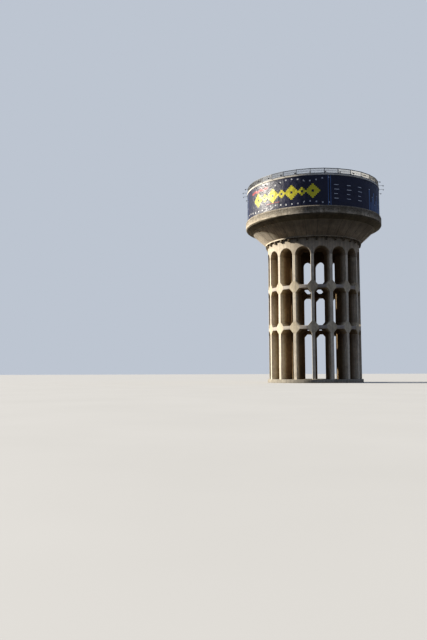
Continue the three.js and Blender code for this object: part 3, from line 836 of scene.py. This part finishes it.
def sign_panel(number, pattern):
    """A curved board with a face for each square of the print. Its face isn't quite true: the
    radius is R + a sin(pi v) sin(14 pi u) + b sin(38 pi u), with u and v from 0 to 1, and the
    waves fade out towards both ends, where the board is held."""
    start = SIGN_START + 90 * (number - 1)
    low, high = (corner.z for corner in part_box(f"sign_panel_{number}"))
    share_u, share_v = np.linspace(0, 1, SIGN_COLUMNS + 1), np.linspace(0, 1, SIGN_ROWS + 1)[:, None]
    gap = math.degrees(SIGN_GAP / 2 / SIGN_RADIUS)
    angle = start + gap + (90 - 2 * gap) * share_u
    height = low + JOINT + (high - low - 2 * JOINT) * share_v
    broad = SIGN_BROAD * np.sin(np.pi * share_v) * np.sin(14 * np.pi * share_u)
    narrow = SIGN_NARROW * np.sin(38 * np.pi * share_u)
    edge = np.minimum(1, np.minimum(share_u, 1 - share_u) / SIGN_HELD)
    front = at(SIGN_RADIUS + (broad + narrow) * edge, angle, height)
    back = at(SIGN_BACK, angle, height)
    u, v = np.radians(angle) * SIGN_RADIUS, height
    patches = [patch(front, u, v), patch(back, u, v)]
    for rim in (np.s_[0], np.s_[-1], np.s_[:, 0], np.s_[:, -1]):
        patches.append(patch(np.stack([front[rim], back[rim]]), 0, 0))
    row, column = np.mgrid[:SIGN_ROWS, :SIGN_COLUMNS]
    colors = pattern(column, row)
    colors[(column == 1) | (column == SIGN_COLUMNS - 2)] = PALE_BLUE
    rest = sum(len(p[1]) for p in patches[1:])
    return patches, np.concatenate([colors.ravel(), np.full(rest, NAVY)]).astype(np.int32)


sign_finishes = [
    printed_film("navy_film", (0.0076, 0.0105, 0.033), (0.0125, 0.0145, 0.042)),
    printed_film("yellow_film", (0.76, 0.69, 0.05), (0.68, 0.61, 0.045)),
    printed_film("white_film", (0.66, 0.66, 0.64), (0.52, 0.53, 0.55)),
    printed_film("red_film", (0.42, 0.03, 0.035), (0.33, 0.03, 0.035)),
    printed_film("pale_blue_film", (0.11, 0.19, 0.36), (0.08, 0.14, 0.28))]
for number, pattern in [(1, short_bars), (2, frieze), (3, short_bars), (4, frieze)]:
    patches, numbers = sign_panel(number, pattern)
    sign = welded(f"sign_panel_{number}_print", patches, sign_finishes, numbers)
    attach(sign, "root")
    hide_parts(f"sign_panel_{number}")

# Roof slab: a low concrete cone that closes the tank, with a flat edge that the parapet stands on.
# It is covered with a weathered grey membrane, welded along raised radial laps.
ROOF_OUTER = 12.25
ROOF_EDGE_INNER = 11.5
ROOF_CENTRE = 1.5
ROOF_THICK = 0.3
ROOF_EDGE_TOP = 35.47
ROOF_EDGE_FACE = 0.035
ROOF_LAPS = 32
LAP_HEIGHT = 0.012
LAP_ANGLE = 0.25
LAP_LINES = 6

roof_low, roof_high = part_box("roof_slab")[0].z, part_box("roof_slab")[1].z
roof_outline = eased([
    (ROOF_CENTRE / 2, roof_high - ROOF_THICK), (ROOF_CENTRE, roof_high - ROOF_THICK),
    (WALL_INNER, roof_low), (ROOF_OUTER, roof_low),
    (ROOF_OUTER, ROOF_EDGE_TOP), (ROOF_EDGE_INNER, ROOF_EDGE_TOP),
    (ROOF_CENTRE, roof_high), (ROOF_CENTRE / 2, roof_high)],
    [0, 0, 0, 0.012, 0.03, 0.05, 0.05, 0], steps=2)
roof_outline = np.concatenate([[(0, roof_high - ROOF_THICK)], roof_outline, [(0, roof_high)]])
roof_give = np.zeros_like(roof_outline)
on_slope = (roof_outline[:, 1] > ROOF_EDGE_TOP + 0.005) & (roof_outline[:, 0] > ROOF_CENTRE / 2)
roof_give[on_slope, 1] = LAP_HEIGHT
roof_ring = jointed_ring(roof_outline, roof_give, ROOF_LAPS, 0, LAP_ANGLE, LAP_LINES)
roof_columns = len(roof_outline)
edge_radius = (roof_outline[:, 0] + np.roll(roof_outline[:, 0], -1)) / 2
is_edge = edge_radius > ROOF_OUTER - ROOF_EDGE_FACE
roof = welded("roof_slab_cast", [roof_ring], [
    concrete("roof_membrane", (0.46, 0.44, 0.40), (0.30, 0.29, 0.27), board=1.1, tone=0.1, streaks=0.2,
             spots=0.3),
    concrete("roof_edge_paint", (0.74, 0.71, 0.64), (0.60, 0.56, 0.49), board=0.6, tone=0.08,
             streaks=0.25)],
    np.tile(is_edge, len(roof_ring[1]) // roof_columns).astype(np.int32), crease=25)
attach(roof, "root")
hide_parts("roof_slab")


# Roof hatch: a square steel curb with an overhanging lid on two hinges, for getting into the tank.
# It is folded from painted plate, and a bent bar across the lid is its handle.
def painted_steel(name, color, worn=(0.10, 0.075, 0.06), roughness=0.5):
    finish = Finish(name)
    place = finish.place()
    rust = finish.math("MULTIPLY", finish.fade(finish.noise(place, 6, 6, 0.7), 0.55, 0.72),
                       finish.fade(finish.noise(place, 1.2, 3), 0.4, 0.65))
    shade = finish.fade(finish.noise(place, 2.2, 4), 0.3, 0.7, 0.8, 1.1)
    tint = finish.mix(finish.math("MULTIPLY", rust, 0.7), finish.times(color, shade), worn)
    finish.bump(finish.noise(place, 90, 3), 0.0008)
    rough = finish.math("ADD", finish.math("MULTIPLY", rust, 0.35), roughness)
    return finish.done(tint, rough, Metallic=0.35)


def block(middle, size, ease, angle=0.0, tilt=0.0):
    """A box with its edges eased by a chamfer, in a local frame (sideways, outwards, up), tipped
    outwards by tilt degrees about its middle and turned to its angle round the tower."""
    wide, deep, high = np.array(size) / 2
    outline = eased([(-wide, -deep), (wide, -deep), (wide, deep), (-wide, deep)], ease, 1)
    level = np.array([-high, ease - high, high - ease, high])
    draw = 1 - np.array([ease, 0, 0, ease])[:, None, None] / np.array([wide, deep])
    rows = np.concatenate([outline, outline[:1]])[None] * draw
    lean = math.radians(tilt)
    side = rows[..., 0] + middle[0]
    out = rows[..., 1] * math.cos(lean) + level[:, None] * math.sin(lean) + middle[1]
    up = level[:, None] * math.cos(lean) - rows[..., 1] * math.sin(lean) + middle[2]
    points = at(np.hypot(side, out), angle + np.degrees(np.arctan2(side, out)), up)
    return [patch(points, 0, 0), cap(points[0, :-1]), cap(points[-1, :-1])]


HATCH_CURB = 1.5
HATCH_LID = 1.7
HATCH_LID_THICK = 0.08
HATCH_FLANGE = 0.08
HATCH_FLANGE_THICK = 0.04
HATCH_HANDLE = 0.02
HATCH_HANDLE_OUT = -0.62
HATCH_HANDLE_SIZE = (0.5, 0.03, HATCH_HANDLE)
HINGE_SIZE = (0.22, 0.05, 0.10)
HINGE_SIDE = 0.5
HINGE_OUT = 0.81
HINGE_DROP = 0.03
STRAP_SIZE = (0.07, 1.6, 0.02)
STRAP_SUNK = 0.004

hatch_foot, hatch_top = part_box("roof_hatch")[0].z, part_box("roof_hatch")[1].z
lid_foot = hatch_top - HATCH_LID_THICK
hatch_lid_height = HATCH_LID_THICK - HATCH_HANDLE
curb_high = lid_foot - hatch_foot
flange_wide = HATCH_CURB + 2 * HATCH_FLANGE
hatch = [
    *block((0, 0, hatch_foot + curb_high / 2), (HATCH_CURB, HATCH_CURB, curb_high), 0.012),
    *block((0, 0, lid_foot + hatch_lid_height / 2), (HATCH_LID, HATCH_LID, hatch_lid_height), 0.014),
    *block((0, 0, hatch_foot + HATCH_FLANGE_THICK / 2),
           (flange_wide, flange_wide, HATCH_FLANGE_THICK), 0.01),
    *block((0, HATCH_HANDLE_OUT, hatch_top - HATCH_HANDLE / 2), HATCH_HANDLE_SIZE, 0.004)]
for side in (-HINGE_SIDE, HINGE_SIDE):
    hatch += block((side, HINGE_OUT, lid_foot - HINGE_DROP), HINGE_SIZE, 0.008)
    hatch += block((side, 0, hatch_top - HATCH_HANDLE - STRAP_SUNK), STRAP_SIZE, 0.004)
hatch = welded("roof_hatch_plate", hatch, [painted_steel("hatch_paint", (0.11, 0.12, 0.13))])
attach(hatch, "root")
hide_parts("roof_hatch")

# Parapet frame: thirty-two square steel posts on base plates, with a rail along their heads and a
# lighter one at their feet. The rails run straight from post to post, and all of it is painted dark.
POSTS = 32
POST_STEP = 360 / POSTS
POST_RADIUS = 12.15
POST_SIZE = 0.09
PARAPET_TOP = 36.44
RAIL_HIGH = 0.11
RAIL_WIDE = 0.085
FOOT_RAIL = 0.12
FOOT_RAIL_WIDE = 0.04
FOOT_RAIL_LIFT = 0.10
BASE_PLATE = (0.16, 0.16, 0.012)

parapet_foot = ROOF_EDGE_TOP + JOINT
post_angles = POST_STEP * np.arange(POSTS)
rail_radius = POST_RADIUS * math.cos(math.radians(POST_STEP / 2))
rail_length = 2 * POST_RADIUS * math.sin(math.radians(POST_STEP / 2))
steel_paint = painted_steel("parapet_paint", (0.085, 0.09, 0.10))
posts = []
post_high = PARAPET_TOP - RAIL_HIGH - parapet_foot
for angle in post_angles:
    post_middle = (0, POST_RADIUS, parapet_foot + post_high / 2)
    posts += block(post_middle, (POST_SIZE, POST_SIZE, post_high), 0.008, angle)
    posts += block((0, POST_RADIUS, parapet_foot + BASE_PLATE[2] / 2), BASE_PLATE, 0.003, angle)
rails = []
top_middle = (0, rail_radius, PARAPET_TOP - RAIL_HIGH / 2)
foot_middle = (0, rail_radius, parapet_foot + FOOT_RAIL_LIFT)
clear_length = rail_length - POST_SIZE
for angle in post_angles + POST_STEP / 2:
    rails += block(top_middle, (rail_length, RAIL_WIDE, RAIL_HIGH), 0.012, angle)
    rails += block(foot_middle, (clear_length, FOOT_RAIL_WIDE, FOOT_RAIL), 0.006, angle)
posts = welded("parapet_posts", posts, [steel_paint])
rails = welded("parapet_rails", rails, [steel_paint])
for made in (posts, rails):
    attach(made, "root")
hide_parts("parapet_1", "parapet_2", "parapet_3", "parapet_4")

# Parapet bars: slender upright steel bars, thirty-six to a bay, welded between the foot rail and
# the top rail with one flat strip behind their middles. Their chalky paint is a mid grey.
BARS = 36
BAR_WIDE = 0.020
BAR_DEEP = 0.030
BAR_SET_IN = 0.02
STRIP_HIGH = 0.045
STRIP_THICK = 0.006

bar_low = parapet_foot + FOOT_RAIL_LIFT + FOOT_RAIL / 2 - BAR_SET_IN
bar_high = PARAPET_TOP - RAIL_HIGH + BAR_SET_IN
bar_middle = (bar_low + bar_high) / 2
bar_places = clear_length * ((np.arange(BARS) + 0.5) / BARS - 0.5)
bar_size = (BAR_WIDE, BAR_DEEP, bar_high - bar_low)
strip_size = (clear_length, STRIP_THICK, STRIP_HIGH)
bars = []
for angle in post_angles + POST_STEP / 2:
    for place in bar_places:
        bars += block((place, rail_radius, bar_middle), bar_size, 0.002, angle)
    bars += block((0, rail_radius - BAR_DEEP / 2, bar_middle), strip_size, 0.001, angle)
bars = welded("parapet_bars", bars, [
    painted_steel("bar_paint", (0.175, 0.175, 0.17), (0.12, 0.10, 0.08))])
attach(bars, "root")

# Floodlights: one outside each post, on a square arm, turned down and in towards the sign. Each is
# a cast body with cooling fins on its back, a glass front and a yoke of bent flat bar.
ARM_SIZE = 0.05
ARM_MIDDLE = 35.595
LAMP_RADIUS = 13.04
LAMP_MIDDLE = 35.475
LAMP_TILT = 28
LAMP_SIZE = (0.235, 0.09, 0.185)
YOKE_BAR = (0.25, 0.035, 0.008)
YOKE_DROP = 0.02
YOKE_LEG = (0.007, 0.03, 0.11)
YOKE_SIDE = 0.121
YOKE_LIFT = 0.05
FINS = 6
FIN_SIDE = 0.095
FIN_SIZE = (0.006, 0.03, 0.15)
FIN_OUT = 0.047
FIN_LIFT = 0.02
GLASS_SIZE = (0.20, 0.008, 0.15)
GLASS_IN = 0.043
GLASS_DROP = 0.0225

arm_start = POST_RADIUS + POST_SIZE / 2
arm_middle = (0, (LAMP_RADIUS + arm_start) / 2, ARM_MIDDLE)
glass_middle = (0, LAMP_RADIUS - GLASS_IN, LAMP_MIDDLE - GLASS_DROP)
arms, lamps, glasses = [], [], []
for angle in post_angles:
    arms += block(arm_middle, (ARM_SIZE, LAMP_RADIUS - arm_start, ARM_SIZE), 0.006, angle)
    arms += block((0, LAMP_RADIUS, ARM_MIDDLE - YOKE_DROP), YOKE_BAR, 0.002, angle)
    for side in (-YOKE_SIDE, YOKE_SIDE):
        arms += block((side, LAMP_RADIUS, LAMP_MIDDLE + YOKE_LIFT), YOKE_LEG, 0.002, angle)
    lamps += block((0, LAMP_RADIUS, LAMP_MIDDLE), LAMP_SIZE, 0.018, angle, LAMP_TILT)
    for fin in np.linspace(-FIN_SIDE, FIN_SIDE, FINS):
        fin_middle = (fin, LAMP_RADIUS + FIN_OUT, LAMP_MIDDLE + FIN_LIFT)
        lamps += block(fin_middle, FIN_SIZE, 0.001, angle, LAMP_TILT)
    glasses += block(glass_middle, GLASS_SIZE, 0.002, angle, LAMP_TILT)
arms = welded("floodlight_arms", arms, [steel_paint])
lamps = welded("floodlight_bodies", lamps, [painted_steel("lamp_paint", (0.075, 0.08, 0.085))])
glass = Finish("lamp_glass")
tint = glass.mix(glass.noise(glass.place(), 14, 3), (0.55, 0.58, 0.60), (0.68, 0.70, 0.70))
glasses = welded("floodlight_glasses", glasses, [glass.done(tint, 0.12)])
for made in (arms, lamps, glasses):
    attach(made, "root")
